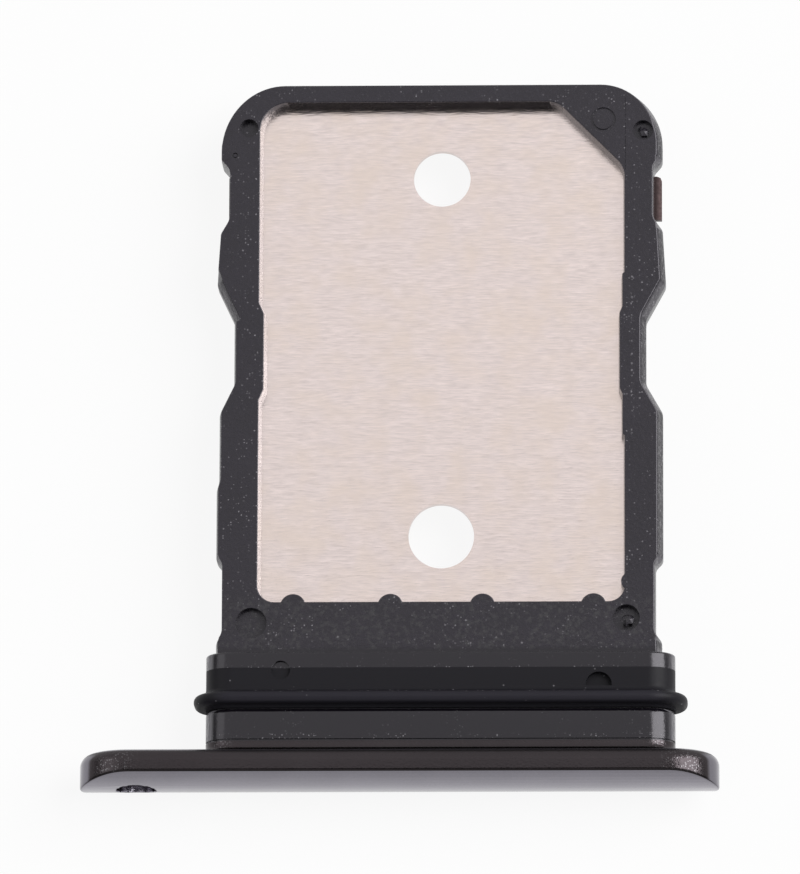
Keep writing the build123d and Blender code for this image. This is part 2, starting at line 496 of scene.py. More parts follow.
def moulded_finish(colours):
    """Black plastic with a fine spark-eroded grain and the pale ends of glass fibres."""
    material, bench = new_finish("moulded_black")
    here = bench.place()
    along = bench.part(here, "Y")
    across = bench.part(here, "X")
    off_centre = abs(across - centre * MM)
    lean = bench.lean()
    sideways = bench.lean("X")

    # Where the walls, the neck, the slopes, the near bar, the left half and the inside of the pocket lie.
    wall = bench.ramp(lean, 0.5, 0.2)
    neck = bench.band(along, seal_high.y + 0.55, seal_high.y + 0.45)
    slope = bench.ramp(lean, 0.6, 0.5) * bench.ramp(lean, 0.12, 0.2)
    near = bench.band(along, plate_low.y + 0.5, plate_low.y + 0.1) * (1.0 - neck)
    left = bench.band(across, centre, 0.0)
    inside = (off_centre < 4.6 * MM) * (along > -4.1 * MM) * bench.band(along, 3.0, 1.5)

    # The grain is weaker on the neck.
    mottle = bench.grain(here, 900.0)
    grain = bench.grain(here, 14000.0, 3.0)
    pits = bench.grain(here, 6500.0)
    strength = 1.0 - 0.8 * neck

    # Pale flecks are few on the flats, and many on the pocket's rim, a scar and the slopes. Along two seams
    # they are painted glints.
    rim = bench.line(off_centre, 4.54, 0.1, 0.04)
    scar = bench.line(across, centre + 4.69, 0.05, 0.02)
    scar = scar * (abs(along - (plate_middle.y - 0.14) * MM) < 2.07 * MM)
    seam = bench.line(along, seal_high.y, 0.06, 0.02) | bench.line(along, frame_low.y + 0.1, 0.09, 0.03)
    seam = seam * bench.ramp(mottle, 0.38, 0.5)
    cluster = bench.ramp(bench.grain(here, 1100.0), 0.45, 0.6)
    coarse = bench.flecks(here, 8000.0, 0.26, 0.07) * bench.ramp(mottle, 0.4, 0.6)
    fine = bench.flecks(here, 16000.0, 0.40, 0.20) * (cluster | rim)
    wear_and_shade = bench.flecks(here, 13000.0, 0.50, 0.55) * (scar | 0.6 * slope)
    # Painted glints: pale flecks along the two seams.
    seam_glints = bench.flecks(here, 17000.0, 0.42, 0.4) * seam
    flecks = (coarse | fine | wear_and_shade) * strength | seam_glints

    # Colour: grain, patches on the near bar, a painted sheen on the slopes that face along the tray, a
    # painted reflection on the neck's rounded ends, and flecks on top.
    tone = (0.5 * mottle + 0.5 * grain) * strength
    shade = bench.blend(tone, opaque(colours.moulding, 0.4), opaque(colours.moulding, 1.6))
    patches = bench.ramp(bench.grain(here, 9000.0, 3.0), 0.5, 0.68) * near
    shade = bench.blend(patches, shade, opaque(colours.fleck, 0.1))
    # Painted sheen: the slopes that face along the tray are lightened.
    painted_slope_sheen = slope * bench.ramp(bench.lean("Y"), 0.2, 0.5)
    shade = bench.blend(0.3 * painted_slope_sheen, shade, opaque(colours.fleck))
    # Painted reflection: the neck's rounded ends are lightened, more on the left, where less lamp light
    # falls.
    painted_end_sheen = neck * bench.ramp(lean - 0.08 * left, 0.66, 0.5) * (0.48 + 0.52 * left)
    painted_end_sheen = painted_end_sheen * bench.ramp(sideways, 0.4, 0.6)
    shade = bench.blend(painted_end_sheen, shade, opaque(colours.painted_end_sheen))
    shade = bench.blend(flecks * bench.ramp(grain, 0.3, 0.7), shade, opaque(colours.fleck))

    # Upright streaks shine on the pocket's long walls. The other walls and the neck are smoother.
    streak = bench.ramp(bench.grain(bench.place(1500.0, 1500.0, 9000.0)), 0.35, 0.6)
    shine = 0.3 * inside * streak * wall * bench.ramp(sideways, 0.4, 0.65)
    smooth = 0.12 * wall * bench.ramp(sideways, 0.65, 0.4) + 0.08 * neck
    neck_top = neck * bench.ramp(lean, 0.96, 0.99)
    relief = grain * (1.0 - 0.8 * neck_top) + 8.0 * slope * pits + 0.4 * flecks
    bench.surface(
        {
            "Base Color": shade,
            "Roughness": 0.19 + 0.15 * grain - smooth,
            "Specular IOR Level": 0.52,
            "Specular Tint": (0.97, 0.94, 1.0, 1.0),
            "Coat Weight": shine,
            "Coat Roughness": 0.08,
            "Normal": bench.bump(relief, 4.0e-6),
        }
    )
    return material


def door_finish(colours, s):
    """Dark anodised metal over a bead-blasted grain, smooth on the face and ends. Their lighter colour is a
    painted reflection; pale flecks are painted glints and a dark line round the face is painted shade.
    """
    material, bench = new_finish("anodised_door")
    here = bench.place()
    cloud = bench.grain(here, 700.0)
    grain = bench.grain(here, 21000.0, 1.0)
    along = bench.part(here, "Y")
    across = bench.part(here, "X")
    lean = bench.lean()
    forward = bench.lean("Y")
    back = door_low.y + s.thickness

    # Where the stub, the blasted ends, the face, the edge of the face and the door's back edge lie.
    stub = along > back * MM
    stub_end = stub * bench.band(abs(across - centre * MM), 5.0, 5.3)
    end = (bench.band(abs(across), 6.3, 6.75) | stub_end) * bench.ramp(lean, 0.72, 0.80)
    # Painted reflection: the rounded ends, where the normal turns past about fifty degrees, take the face's
    # lighter tone.
    rounded = bench.ramp(lean, 0.66, 0.58) * bench.ramp(bench.lean("X"), 0.5, 0.7)
    face = (bench.ramp(forward, 0.80, 0.87) | rounded) * (1.0 - stub)
    # Painted shade: a dark line along the edge round the face.
    painted_dark_edge = bench.ramp(forward, 0.15, 0.35) * (along < (door_low.y + 0.5 * s.thickness) * MM)
    tail = bench.band(along, back - 0.22, back - 0.08) * (1.0 - stub)

    # The bore is known by its distance from the axis of the pin hole.
    axis = (-(door_low.x + s.hole_inset) * MM, 0, -middle * MM)
    offset = bench.node("ShaderNodeMapping", None, {"Vector": here, "Location": axis, "Scale": (1, 0, 1)})
    radius = bench.node("ShaderNodeVectorMath", {"operation": "LENGTH"}, {0: offset}, "Value")
    bore = radius < (s.hole_diameter / 2 + 0.01) * MM

    # Colour: a lighter painted reflection on the face, its rounded ends and in the bore, blasted metal with
    # painted glints elsewhere, and a painted dark line of shade round the face.
    # Painted reflection: the lighter face colour, paler still where the face is upright, stands in for the
    # bright floor it mirrors.
    pale = opaque(colours.face, 1.6)
    painted_face_sheen = bench.blend(bench.ramp(lean, 0.39, 0.0), opaque(colours.face), pale)
    # Painted glints: pale flecks on the blasted ends, where the lamps would sparkle.
    bead = bench.flecks(here, 19000.0, 0.5, 0.5) * end
    blasted = bench.blend(bead, opaque(colours.door), opaque(colours.bead))
    blasted = bench.blend(0.55 * painted_dark_edge, blasted, BLACK)
    tone = bench.blend(face, blasted, painted_face_sheen)
    # The bore is paler, partly as bare metal and partly as a painted reflection inside the pin hole.
    tone = bench.blend(bore, tone, pale)
    bench.surface(
        {
            "Base Color": bench.blend(0.16 * cloud + 0.16 * grain, tone, BLACK),
            "Metallic": 1.0,
            "Roughness": 0.18 + 0.1 * grain - 0.1 * face + 0.2 * tail,
            "Normal": bench.bump(grain * (0.3 + 0.7 * end) * (1.0 - 0.9 * face), 10.0e-6),
        }
    )
    return material


def steel_finish(colours):
    """Brushed steel with streaks across the tray, browned at its sheared tabs, whose inner halves are
    darkened as painted shade.
    """
    material, bench = new_finish("brushed_floor")
    here = bench.place()
    fine = bench.grain(bench.place(3500.0, 27000.0, 27000.0))
    broad = bench.grain(bench.place(1500.0, 9000.0, 9000.0))
    cloud = bench.grain(here, 1300.0)
    streak = bench.ramp(0.6 * fine + 0.4 * broad, 0.3, 0.7)
    brushed = bench.blend(streak, opaque(colours.steel, 0.88), opaque(colours.steel, 1.12))
    warm = opaque((colours.steel[0], 0.97 * colours.steel[1], 0.88 * colours.steel[2]))
    tinted = bench.blend(0.5 * bench.ramp(cloud, 0.4, 0.7), brushed, warm)
    off_centre = abs(bench.part(here, "X") - centre * MM)
    sheared = off_centre > 5.0 * MM
    # Painted shade: each tab is darker on its inner half beside the rail, and varies with grain beyond it.
    wear_and_shade = bench.grain(here, 12000.0) * bench.band(off_centre, 5.27, 5.37)
    brown = bench.blend(wear_and_shade, opaque(colours.sheared, 0.5), opaque(colours.sheared, 2.3))
    bench.surface(
        {
            "Base Color": bench.blend(sheared, tinted, brown),
            "Metallic": 1.0,
            "Roughness": 0.14 + 0.08 * fine + 0.25 * sheared,
            "Normal": bench.bump(streak, 1.5e-6),
        }
    )
    return material


def rubber_finish(colours):
    """Soft black rubber, lighter on the top of the lip as a painted sheen, with a little dust on it."""
    material, bench = new_finish("seal_rubber")
    here = bench.place()
    along = bench.part(here, "Y")
    level = abs(bench.part(here, "Z") - middle * MM)
    grain = bench.grain(here, 11000.0)
    ledge = bench.line(along, seal_low.y + 0.385, 0.05, 0.02)
    foot = bench.band(along, seal_low.y + 0.1, seal_low.y + 0.05)
    painted_crest_sheen = bench.band(level, seal_high.z - middle - 0.12, seal_high.z - middle - 0.02)
    dust = bench.flecks(here, 9000.0, 0.24, 0.05) | ledge * bench.flecks(here, 15000.0, 0.4, 0.25)
    # Painted sheen: the top of the lip is lighter.
    shade = bench.blend(painted_crest_sheen, opaque(colours.rubber), opaque(colours.rubber, 2.2))
    bench.surface(
        {
            "Base Color": bench.blend(dust * grain, shade, opaque(colours.fleck)),
            "Roughness": 0.40 + 0.14 * grain + 0.4 * foot,
            "Specular IOR Level": 0.15,
            "Normal": bench.bump(grain, 0.8e-6),
        }
    )
    return material


class TRAY_OT_carrier(Operator):
    """Model the moulded carrier: bevelled rails round the card pocket, and the grooved neck"""

    bl_idname = "sim_tray.carrier"
    bl_label = "Carrier"

    def execute(self, context):
        s = in_millimetres(context.scene.tray_carrier)
        plate = in_millimetres(context.scene.tray_plate)
        self.stations(s)
        carrier = self.rails(s)
        join_solids(carrier, self.pocket(s), "DIFFERENCE")
        join_solids(carrier, self.window(), "DIFFERENCE")
        join_solids(carrier, plate_blank("seat", plate.corner), "DIFFERENCE")
        take_up(carrier, "EDIT")
        ease_edges(carrier, self.on_pocket_rim, s.edge_round, 2)
        self.press_marks(carrier)
        self.mould_ridge(carrier)
        join_solids(carrier, self.neck(s), "UNION")
        settle(carrier, "tray_frame", moulded_finish(context.scene.tray_colours))
        return {"FINISHED"}

    def stations(self, s):
        """Places along the tray and levels that the other steps share."""
        self.pocket_end = frame_high.y - s.far_bar
        self.pocket_start = self.pocket_end - s.pocket_length
        self.pocket_middle = (self.pocket_start + self.pocket_end) / 2
        self.pocket_half = s.pocket_width / 2
        self.pocket_corner = 0.4
        self.rail_half = self.pocket_half + s.rail_width
        self.rail_start = seal_high.y + 0.1
        self.root = self.pocket_start + 0.16
        self.relief = self.pocket_end - relief_inset
        self.top = middle + s.thickness / 2
        self.bottom = middle - s.thickness / 2
        self.flange_end = seal_high.y + s.flange

        # The pocket and the window overlap inside the plate.
        overlap = 0.03
        self.pocket_low = plate_middle.z - overlap
        self.window_high = plate_middle.z + overlap

    def on_pocket_rim(self, place):
        """Whether a place lies on the upper edge of the pocket."""
        inside_x = abs(place.x - centre) < self.pocket_half + hair
        inside_y = self.pocket_start - hair < place.y < self.pocket_end + hair
        return inside_x and inside_y and abs(place.z - self.top) < hair

    def rail_bends(self, root_relief, pad_rise, foot, waist, relief_run):
        """Bends of one rail's outer edge, from the flange to the card end."""
        half = self.rail_half
        root_start, root_end = self.root - 0.94, self.root + 0.75
        root_run = 0.18
        bends = [
            (half + foot, self.rail_start),
            (half + foot, root_start - root_run),
            (half - root_relief, root_start),
            (half - root_relief, root_end),
            (half + pad_rise, root_end + root_run),
        ]
        if pad_rise:
            pad_end, pad_run = self.root + 2.68, 0.2
            bends += [(half + pad_rise, pad_end), (half, pad_end + pad_run)]
        waist_start, waist_end = self.pocket_middle - 0.81, self.pocket_middle + 0.81
        near_run, far_run = 0.72, 0.9
        bulge = 0.08
        relief_start, relief_end = self.relief - 0.63, self.relief + 0.63
        relief_depth, relief_end_run = 0.21, 0.24
        bends += [
            (half, waist_start - near_run),
            (half - waist, waist_start),
            (half - waist, waist_end),
            (half + bulge, waist_end + far_run),
            (half, relief_start - relief_run),
            (half - relief_depth, relief_start),
            (half - relief_depth, relief_end),
            (half, relief_end + relief_end_run),
            (half, frame_high.y),
        ]
        return bends

    def rails(self, s):
        """Blank of the carrier, with its sloped edges but no pocket."""
        right = self.rail_bends(root_relief=0.18, pad_rise=0.0, foot=-0.03, waist=0.41, relief_run=0.24)
        left = self.rail_bends(root_relief=0.09, pad_rise=0.06, foot=0.05, waist=0.35, relief_run=0.36)
        outline = right + [(-half, y) for half, y in reversed(left)]
        low, high = self.bottom + s.bevel_height, self.top - s.bevel_height
        blank = trace("carrier", [(centre + x, y, low) for x, y in outline])
        near, far = self.rail_start + hair, frame_high.y - hair
        bend_round = 0.07
        round_corners(blank, lambda place: near < place.y < far, bend_round, 4)
        round_corners(blank, lambda place: place.y > far and place.x < centre, s.far_left, 20)
        round_corners(blank, lambda place: place.y > far and place.x > centre + 1, s.far_right, 20)
        draw_block(blank, z=s.thickness - 2 * s.bevel_height)
        face_outwards()
        for side in (-1, 1):
            pick(blank, "FACE", lambda face: face.normal.z * side > 0.9)
            bpy.ops.mesh.inset(thickness=s.bevel_width, depth=s.bevel_height)
        self.trim_bevel(blank, s)
        for level in (self.bottom, low, high, self.top):
            ease_edges(blank, lambda place: abs(place.z - level) < hair, s.edge_round, 2)
        return blank

    def trim_bevel(self, blank, s):
        """Narrow the slope where the rails have next to none: left, at the reliefs and at the card end."""
        waist_end = self.pocket_middle + 0.72
        shoulder = self.pocket_middle + 1.8

        def on_rim(place):
            return min(abs(place.z - self.bottom), abs(place.z - self.top)) < hair

        def on_left_edge(face):
            return abs(face.normal.z) < 0.9 and face.calc_center_median().x < centre - 3

        def beside_root(place):
            return self.root - 1.09 < place.y < self.root + 0.90

        def past_relief(place):
            return self.relief + 0.5 < place.y < self.relief + 1.0

        def shift(test, across=0.0, along=0.0):
            pick(blank, "VERT", lambda vertex: on_rim(vertex.co) and test(vertex.co))
            bpy.ops.transform.translate(value=(across, along, 0))

        for station in (waist_end, shoulder + 0.25):
            pick(blank, "FACE", on_left_edge)
            bpy.ops.mesh.bisect(plane_co=(0, station, 0), plane_no=(0, 1, 0))
        shift(lambda place: place.x < centre and place.y < waist_end + hair, across=-0.09)
        shift(lambda place: place.x < centre and beside_root(place), across=-0.04)
        shift(lambda place: place.x < centre and place.y > shoulder, across=-0.125)
        shift(lambda place: place.x < centre and past_relief(place), along=-0.09)
        shift(lambda place: place.x > centre and beside_root(place), across=0.10)
        shift(lambda place: place.x > centre and abs(place.y - self.relief) < 0.81, across=0.11)

        # The card end keeps a narrow slope, and the rims of the rails move up a little with it.
        end_slope, lift = 0.02, 0.04
        foot = frame_high.y - s.far_right
        stretch = (frame_high.y - end_slope - foot) / (frame_high.y - s.bevel_width - foot)
        shift(lambda place: place.y < foot, along=lift)
        pick(blank, "VERT", lambda vertex: on_rim(vertex.co) and vertex.co.y > foot + lift)
        bpy.ops.transform.resize(value=(1, stretch, 1), center_override=(centre, foot, middle))

    def pocket(self, s):
        """Tool that cuts the card pocket, with its key corner, spring bulges and card stops."""
        half, y = self.pocket_half, self.pocket_middle
        start, end = self.pocket_start, self.pocket_end
        left = 0.03 - half
        step, spring, spring_half = 0.05, 0.12, 0.95
        outline = [
            (left, start),
            (half, start),
            (half, y - 2.14),
            (half - step, y - 2.10),
            (half - step, y - 1.113),
            (half - spring, y - spring_half),
            (half - spring, y + spring_half),
            (half - step, y + 1.113),
            (half - step, y + 1.93),
            (half, y + 1.97),
            (half, end - s.key_cut),
            (half - s.key_cut, end),
            (left, end),
            (left, y + 1.23),
            (left + spring, y + spring_half),
            (left + spring, y - spring_half),
            (left, y - 1.23),
        ]
        tool = trace("pocket", [(centre + x, along, self.pocket_low) for x, along in outline])
        key_x, key_y = centre + half - s.key_cut - hair, end - s.key_cut - hair
        far_corner, key_round = 0.7, 0.5
        round_corners(tool, lambda place: place.y < start + hair, self.pocket_corner, 8)
        round_corners(tool, lambda place: place.y > end - hair and place.x < centre, far_corner, 12)
        round_corners(tool, lambda place: place.x > key_x and place.y > key_y, key_round * tan(pi / 8), 6)
        high = self.top + overrun
        draw_block(tool, z=high - self.pocket_low)
        face_outwards()

        # Widened from a point right of the middle, the left wall leans twice as much as the right one.
        for level in (self.pocket_low, high):
            rise = (level - self.top) / (self.top - self.pocket_low)
            pick(tool, "FACE", lambda face: abs(face.calc_center_median().z - level) < hair)
            wider = (1 + 1.5 * rise * s.side_draft / half, 1 + rise * s.end_draft / (end - y), 1)
            bpy.ops.transform.resize(value=wider, center_override=(centre + half / 3, y, level))
        stops = [(x, start - 0.12, 0.32) for x in (0.9 - half, -1.22, 1.03, half - 0.76)]
        stops.append((half + 0.13, start + 0.5, 0.22))
        for x, along, radius in stops:
            stop = peg("stop", centre + x, along, self.pocket_low - overrun, high + overrun, radius)
            join_solids(tool, stop, "DIFFERENCE")
        return tool

    def window(self):
        """Tool that opens the underside of the pocket up to the plate."""
        low = self.bottom - overrun
        corner = self.pocket_corner
        tool = oblong("window", self.pocket_half, self.pocket_start, self.pocket_end, low, corner)
        draw_block(tool, z=self.window_high - low)
        return tool

    def press_marks(self, carrier):
        """Round marks that the ejector pins and the gates left in the top of the carrier."""
        near, far, top = self.pocket_start, self.pocket_end, self.top
        above = top + 0.2

        # Each row is across, along, radius and depth.
        recesses = (
            (-4.75, far - 0.64, 0.23, 0.28),
            (-4.62, near - 0.525, 0.38, 0.22),
            (4.54, near - 0.415, 0.33, 0.26),
            (4.58, near - 0.485, 0.19, 0.3),
            (4.96, far - 0.73, 0.25, 0.2),
        )
        for x, y, radius, depth in recesses:
            join_solids(carrier, peg("mark", centre + x, y, top - depth, above, radius), "DIFFERENCE")

        # Each row is across, along, radius and width.
        rings = ((3.98, far - 0.46, 0.31, 0.07), (-5.09, far - 1.33, 0.07, 0.03))
        for x, y, radius, width in rings:
            ring = peg("ring", centre + x, y, top - 0.05, above, radius)
            core = peg("core", centre + x, y, top - 0.2, top + overrun, radius - width)
            join_solids(ring, core, "DIFFERENCE")
            join_solids(carrier, ring, "DIFFERENCE")

        # Each row is across, along, depth of the foot, radius and number of sides.
        gates = (
            (4.62, near - 0.45, 0.45, 0.12, 5),
            (4.53, near - 0.56, 0.45, 0.06, 4),
            (4.99, far - 0.76, 0.2, 0.12, 5),
            (4.90, far - 0.68, 0.25, 0.06, 4),
        )
        shoulder, tip = 0.09, 0.06
        for x, y, depth, radius, sides in gates:
            stub = peg("gate", centre + x, y, top - depth, top - shoulder, radius, sides)
            take_up(stub, "EDIT")
            pick(stub, "FACE", lambda face: face.normal.z > 0.9)
            bpy.ops.mesh.poke(offset=tip, use_relative_offset=False)
            join_solids(carrier, stub, "UNION")

    def mould_ridge(self, carrier):
        """Fine ridge on the right, where two faces of the mould met."""
        x, near, far = centre + 4.53, self.pocket_end - 1.74, self.pocket_end + 0.1
        width, sunk = 0.03, 0.01
        section = ((-width / 2, -sunk), (width / 2, -sunk), (0, 0.4 * width))
        ridge = trace("ridge", [(x + across, near, self.top + z) for across, z in section])
        draw_block(ridge, y=far - near)
        join_solids(carrier, ridge, "UNION")

    def neck(self, s):
        """Grooved neck between the door and the rails."""
        rebate = 0.05
        flange_round = 0.06
        plug = neck_bar("plug", seal_low.y, frame_low.y + rebate, s.neck_corner)
        face_outwards()
        pick(plug, "FACE", lambda face: face.normal.y < -0.9)
        bpy.ops.mesh.inset(thickness=rebate)
        draw_out(y=-rebate)

        def at_seal(place):
            return place.y > seal_low.y - hair

        ease_edges(plug, at_seal, s.groove_round, 4)
        pick(plug, "FACE", lambda face: face.normal.y > 0.9 and at_seal(face.calc_center_median()))
        bpy.ops.mesh.inset(thickness=s.groove - s.groove_round)
        bpy.ops.mesh.delete(type="FACE")
        flange = neck_bar("flange", seal_high.y, self.flange_end, s.neck_corner)
        face_outwards()
        ease_edges(flange, lambda place: place.y > self.flange_end - hair, flange_round, 4)
        pick(flange, "FACE", lambda face: face.normal.y < -0.9)
        bpy.ops.mesh.inset(thickness=s.groove)
        bpy.ops.mesh.delete(type="FACE")
        put_down()
        flange.select_set(True)
        plug.select_set(True)
        bpy.context.view_layer.objects.active = plug
        bpy.ops.object.join()
        bpy.ops.object.mode_set(mode="EDIT")
        bridge_rims()
        join_solids(plug, seam_dimple(), "DIFFERENCE")
        return plug


def seam_dimple():
    """Tool for the round dimple that the flange and the seal share."""
    return peg("dimple", centre - 3.88, seal_high.y - 0.06, seal_top - 0.1, seal_top + overrun, 0.23)


class TRAY_OT_seal(Operator):
    """Model the rubber seal with its round lip"""

    bl_idname = "sim_tray.seal"
    bl_label = "Seal"

    def execute(self, context):
        s = in_millimetres(context.scene.tray_seal)
        c = in_millimetres(context.scene.tray_carrier)
        lip_start = seal_low.y + s.lip_setback
        lip_end = lip_start + s.lip_length
        seal = neck_bar("seal", lip_start, lip_end, c.neck_corner, lip_rise)
        face_outwards()
        for side, step in ((1, seal_high.y - lip_end), (-1, seal_low.y - lip_start)):
            pick(seal, "FACE", lambda face: face.normal.y * side > 0.9)
            bpy.ops.mesh.inset(thickness=lip_rise)
            draw_out(y=step)
            bpy.ops.mesh.inset(thickness=c.groove)
            bpy.ops.mesh.delete(type="FACE")
        bridge_rims()
        face_outwards()

        def round_ring(station, growth, reach, segments):
            def on_ring(place):
                return on_neck_section(place, c.neck_corner, growth) and abs(place.y - station) < hair

            ease_edges(seal, on_ring, reach, segments)

        round_ring(lip_start, lip_rise, s.nose, 8)
        round_ring(lip_end, lip_rise, s.nose, 8)
        round_ring(lip_end, 0.0, s.cove, 6)
        round_ring(lip_start, 0.0, s.near_cove, 4)
        dimple = peg("dimple", centre + 3.87, seal_low.y + 0.55, seal_top - 0.2, seal_top + overrun, 0.32)
        take_up(dimple, "EDIT")
        bpy.ops.mesh.select_all(action="SELECT")
        clear_of_lip = (0, lip_end + s.cove, 0)
        bpy.ops.mesh.bisect(plane_co=clear_of_lip, plane_no=(0, 1, 0), use_fill=True, clear_inner=True)
        join_solids(seal, dimple, "DIFFERENCE")
        join_solids(seal, seam_dimple(), "DIFFERENCE")
        settle(seal, "seal_ring", rubber_finish(context.scene.tray_colours))
        return {"FINISHED"}


class TRAY_OT_plate(Operator):
    """Model the steel floor of the pocket"""

    bl_idname = "sim_tray.plate"
    bl_label = "Floor plate"

    def execute(self, context):
        s = in_millimetres(context.scene.tray_plate)
        plate = plate_blank("plate", s.corner)
        face_outwards()
        self.weld_tabs(plate, s)
        near = plate_low.y + plate_margin + s.near_inset
        far = plate_high.y - plate_margin - s.far_inset
        for y, diameter in ((near, s.near_hole), (far, s.far_hole)):
            hole = peg("hole", centre, y, plate_low.z - overrun, plate_high.z + overrun, diameter / 2, 96)
            join_solids(plate, hole, "DIFFERENCE")
        settle(plate, "floor_plate", steel_finish(context.scene.tray_colours))
        return {"FINISHED"}

    def weld_tabs(self, plate, s):
        """Bar across the plate, a little thinner, whose ends are the sheared tabs."""
        y = plate_high.y - plate_margin - relief_inset
        thinner, tab_round = 0.01, 0.12
        put_down()
        bpy.ops.mesh.primitive_cube_add(size=1, location=(plate_middle.x, y, plate_middle.z))
        tab = bpy.context.object
        tab.scale = (plate_high.x - plate_low.x, s.tab_width, plate_high.z - plate_low.z - thinner)
        bpy.ops.object.transform_apply()
        take_up(tab, "EDIT")
        ease_edges(tab, lambda place: place.x > centre and place.y > y, tab_round, 2)
        join_solids(plate, tab, "UNION")


class TRAY_OT_door(Operator):
    """Model the metal door with its crowned face, pin hole and stub"""

    bl_idname = "sim_tray.door"
    bl_label = "Door"

    def execute(self, context):
        s = in_millimetres(context.scene.tray_door)
        neck_corner = context.scene.tray_carrier.neck_corner / MM
        self.half_width = (door_high.x - door_low.x) / 2
        self.half_height = (door_high.z - door_low.z) / 2
        self.back = door_low.y + s.thickness
        self.front_reach = door_low.y + 0.4
        door = self.bar(s)
        self.crown(door, s)
        take_up(door, "EDIT")
        ease_edges(door, lambda place: place.y > self.back - hair, s.back_round, 8)
        pick(door, "EDGE", self.on_face_edge)
        bpy.ops.mesh.bevel(offset=s.front_round, segments=5, affect="EDGES")
        self.drill(door, s)
        self.weld_stub(door, s, neck_corner)
        settle(door, "face_plate", door_finish(context.scene.tray_colours, s))
        return {"FINISHED"}

    def bar(self, s):
        """Flat bar with full-round ends. Its front has a clean rim, and strips for the crown inside it."""
        signs = ((-1, -1), (1, -1), (1, 1), (-1, 1))
        corners = [(i * self.half_width, self.back, middle + k * self.half_height) for i, k in signs]
        bar = trace("door", corners)
        round_corners(bar, lambda place: True, self.half_height, 24)
        draw_block(bar, y=-s.thickness)
        face_outwards()
        pick(bar, "FACE", lambda face: face.normal.y < -0.9)
        bpy.ops.mesh.inset(thickness=2 * s.front_round)
        strips = 16
        for strip in range(1, strips):
            level = middle + self.half_height * (2 * strip / strips - 1)
            pick(bar, "FACE", lambda face: all(self.inside_rim(vertex.co, s) for vertex in face.verts))
            bpy.ops.mesh.bisect(plane_co=(0, 0, level), plane_no=(0, 0, 1))
        return bar

    def inside_rim(self, place, s):
        """Whether a place on the front lies inside its rim."""
        x = max(abs(place.x) - self.half_width + self.half_height, 0.0)
        z = place.z - middle
        return place.y < door_low.y + hair and hypot(x, z) < self.half_height - 1.5 * s.front_round

    def crown(self, door, s):
        """Press the front of the bar onto a wide cylinder."""
        pick(door, "VERT", lambda vertex: vertex.co.y < door_low.y + hair)
        bpy.ops.object.vertex_group_assign_new()
        axis = (0, door_low.y + s.face_radius, middle)
        former = cylinder("former", axis, s.face_radius, 3 * self.half_width, 720, (0, pi / 2, 0))
        take_up(door)
        bpy.ops.object.modifier_add(type="SHRINKWRAP")
        press = door.modifiers[-1]
        press.wrap_method = "PROJECT"
        press.use_project_y = True
        press.use_negative_direction = True
        press.use_positive_direction = True
        press.project_limit = 1.0
        press.target = former
        press.vertex_group = door.vertex_groups[-1].name
        bpy.ops.object.modifier_apply(modifier=press.name)
        bpy.data.objects.remove(former)
        door.vertex_groups.clear()

    def on_face_edge(self, edge):
        """Whether an edge lies between the door's side and its crowned face."""
        sides = [abs(face.normal.y) < 0.1 for face in edge.link_faces]
        return sum(sides) == 1 and all(vertex.co.y < self.front_reach for vertex in edge.verts)

    def drill(self, door, s):
        """Hole for the eject pin, through the door from front to back."""
        place = (door_low.x + s.hole_inset, self.back, middle)
        drill = cylinder("drill", place, s.hole_diameter / 2, 3, 64, (pi / 2, 0, 0))
        join_solids(door, drill, "DIFFERENCE")
        take_up(door, "EDIT")

        def on_front_rim(place):
            radius = hypot(place.x - door_low.x - s.hole_inset, place.z - middle)
            return abs(radius - s.hole_diameter / 2) < hair and place.y < self.front_reach

        ease_edges(door, on_front_rim, s.hole_rim, 4)

    def weld_stub(self, door, s, neck_corner):
        """Short stub on the door's back, with a fillet at its root."""
        sunk = 0.2
        stub = neck_bar("stub", self.back - sunk, frame_low.y, neck_corner)
        join_solids(door, stub, "UNION")
        take_up(door, "EDIT")

        def at_root(place):
            return abs(place.y - self.back) < hair and on_neck_section(place, neck_corner, 0.0)

        ease_edges(door, at_root, s.stub_root, 3)


def seen(bench, *kinds):
    """One for rays of those kinds, and nothing for the others."""
    rays = [bench.node("ShaderNodeLightPath", output=f"Is {kind} Ray") for kind in kinds]
    return sum(rays[1:], rays[0])


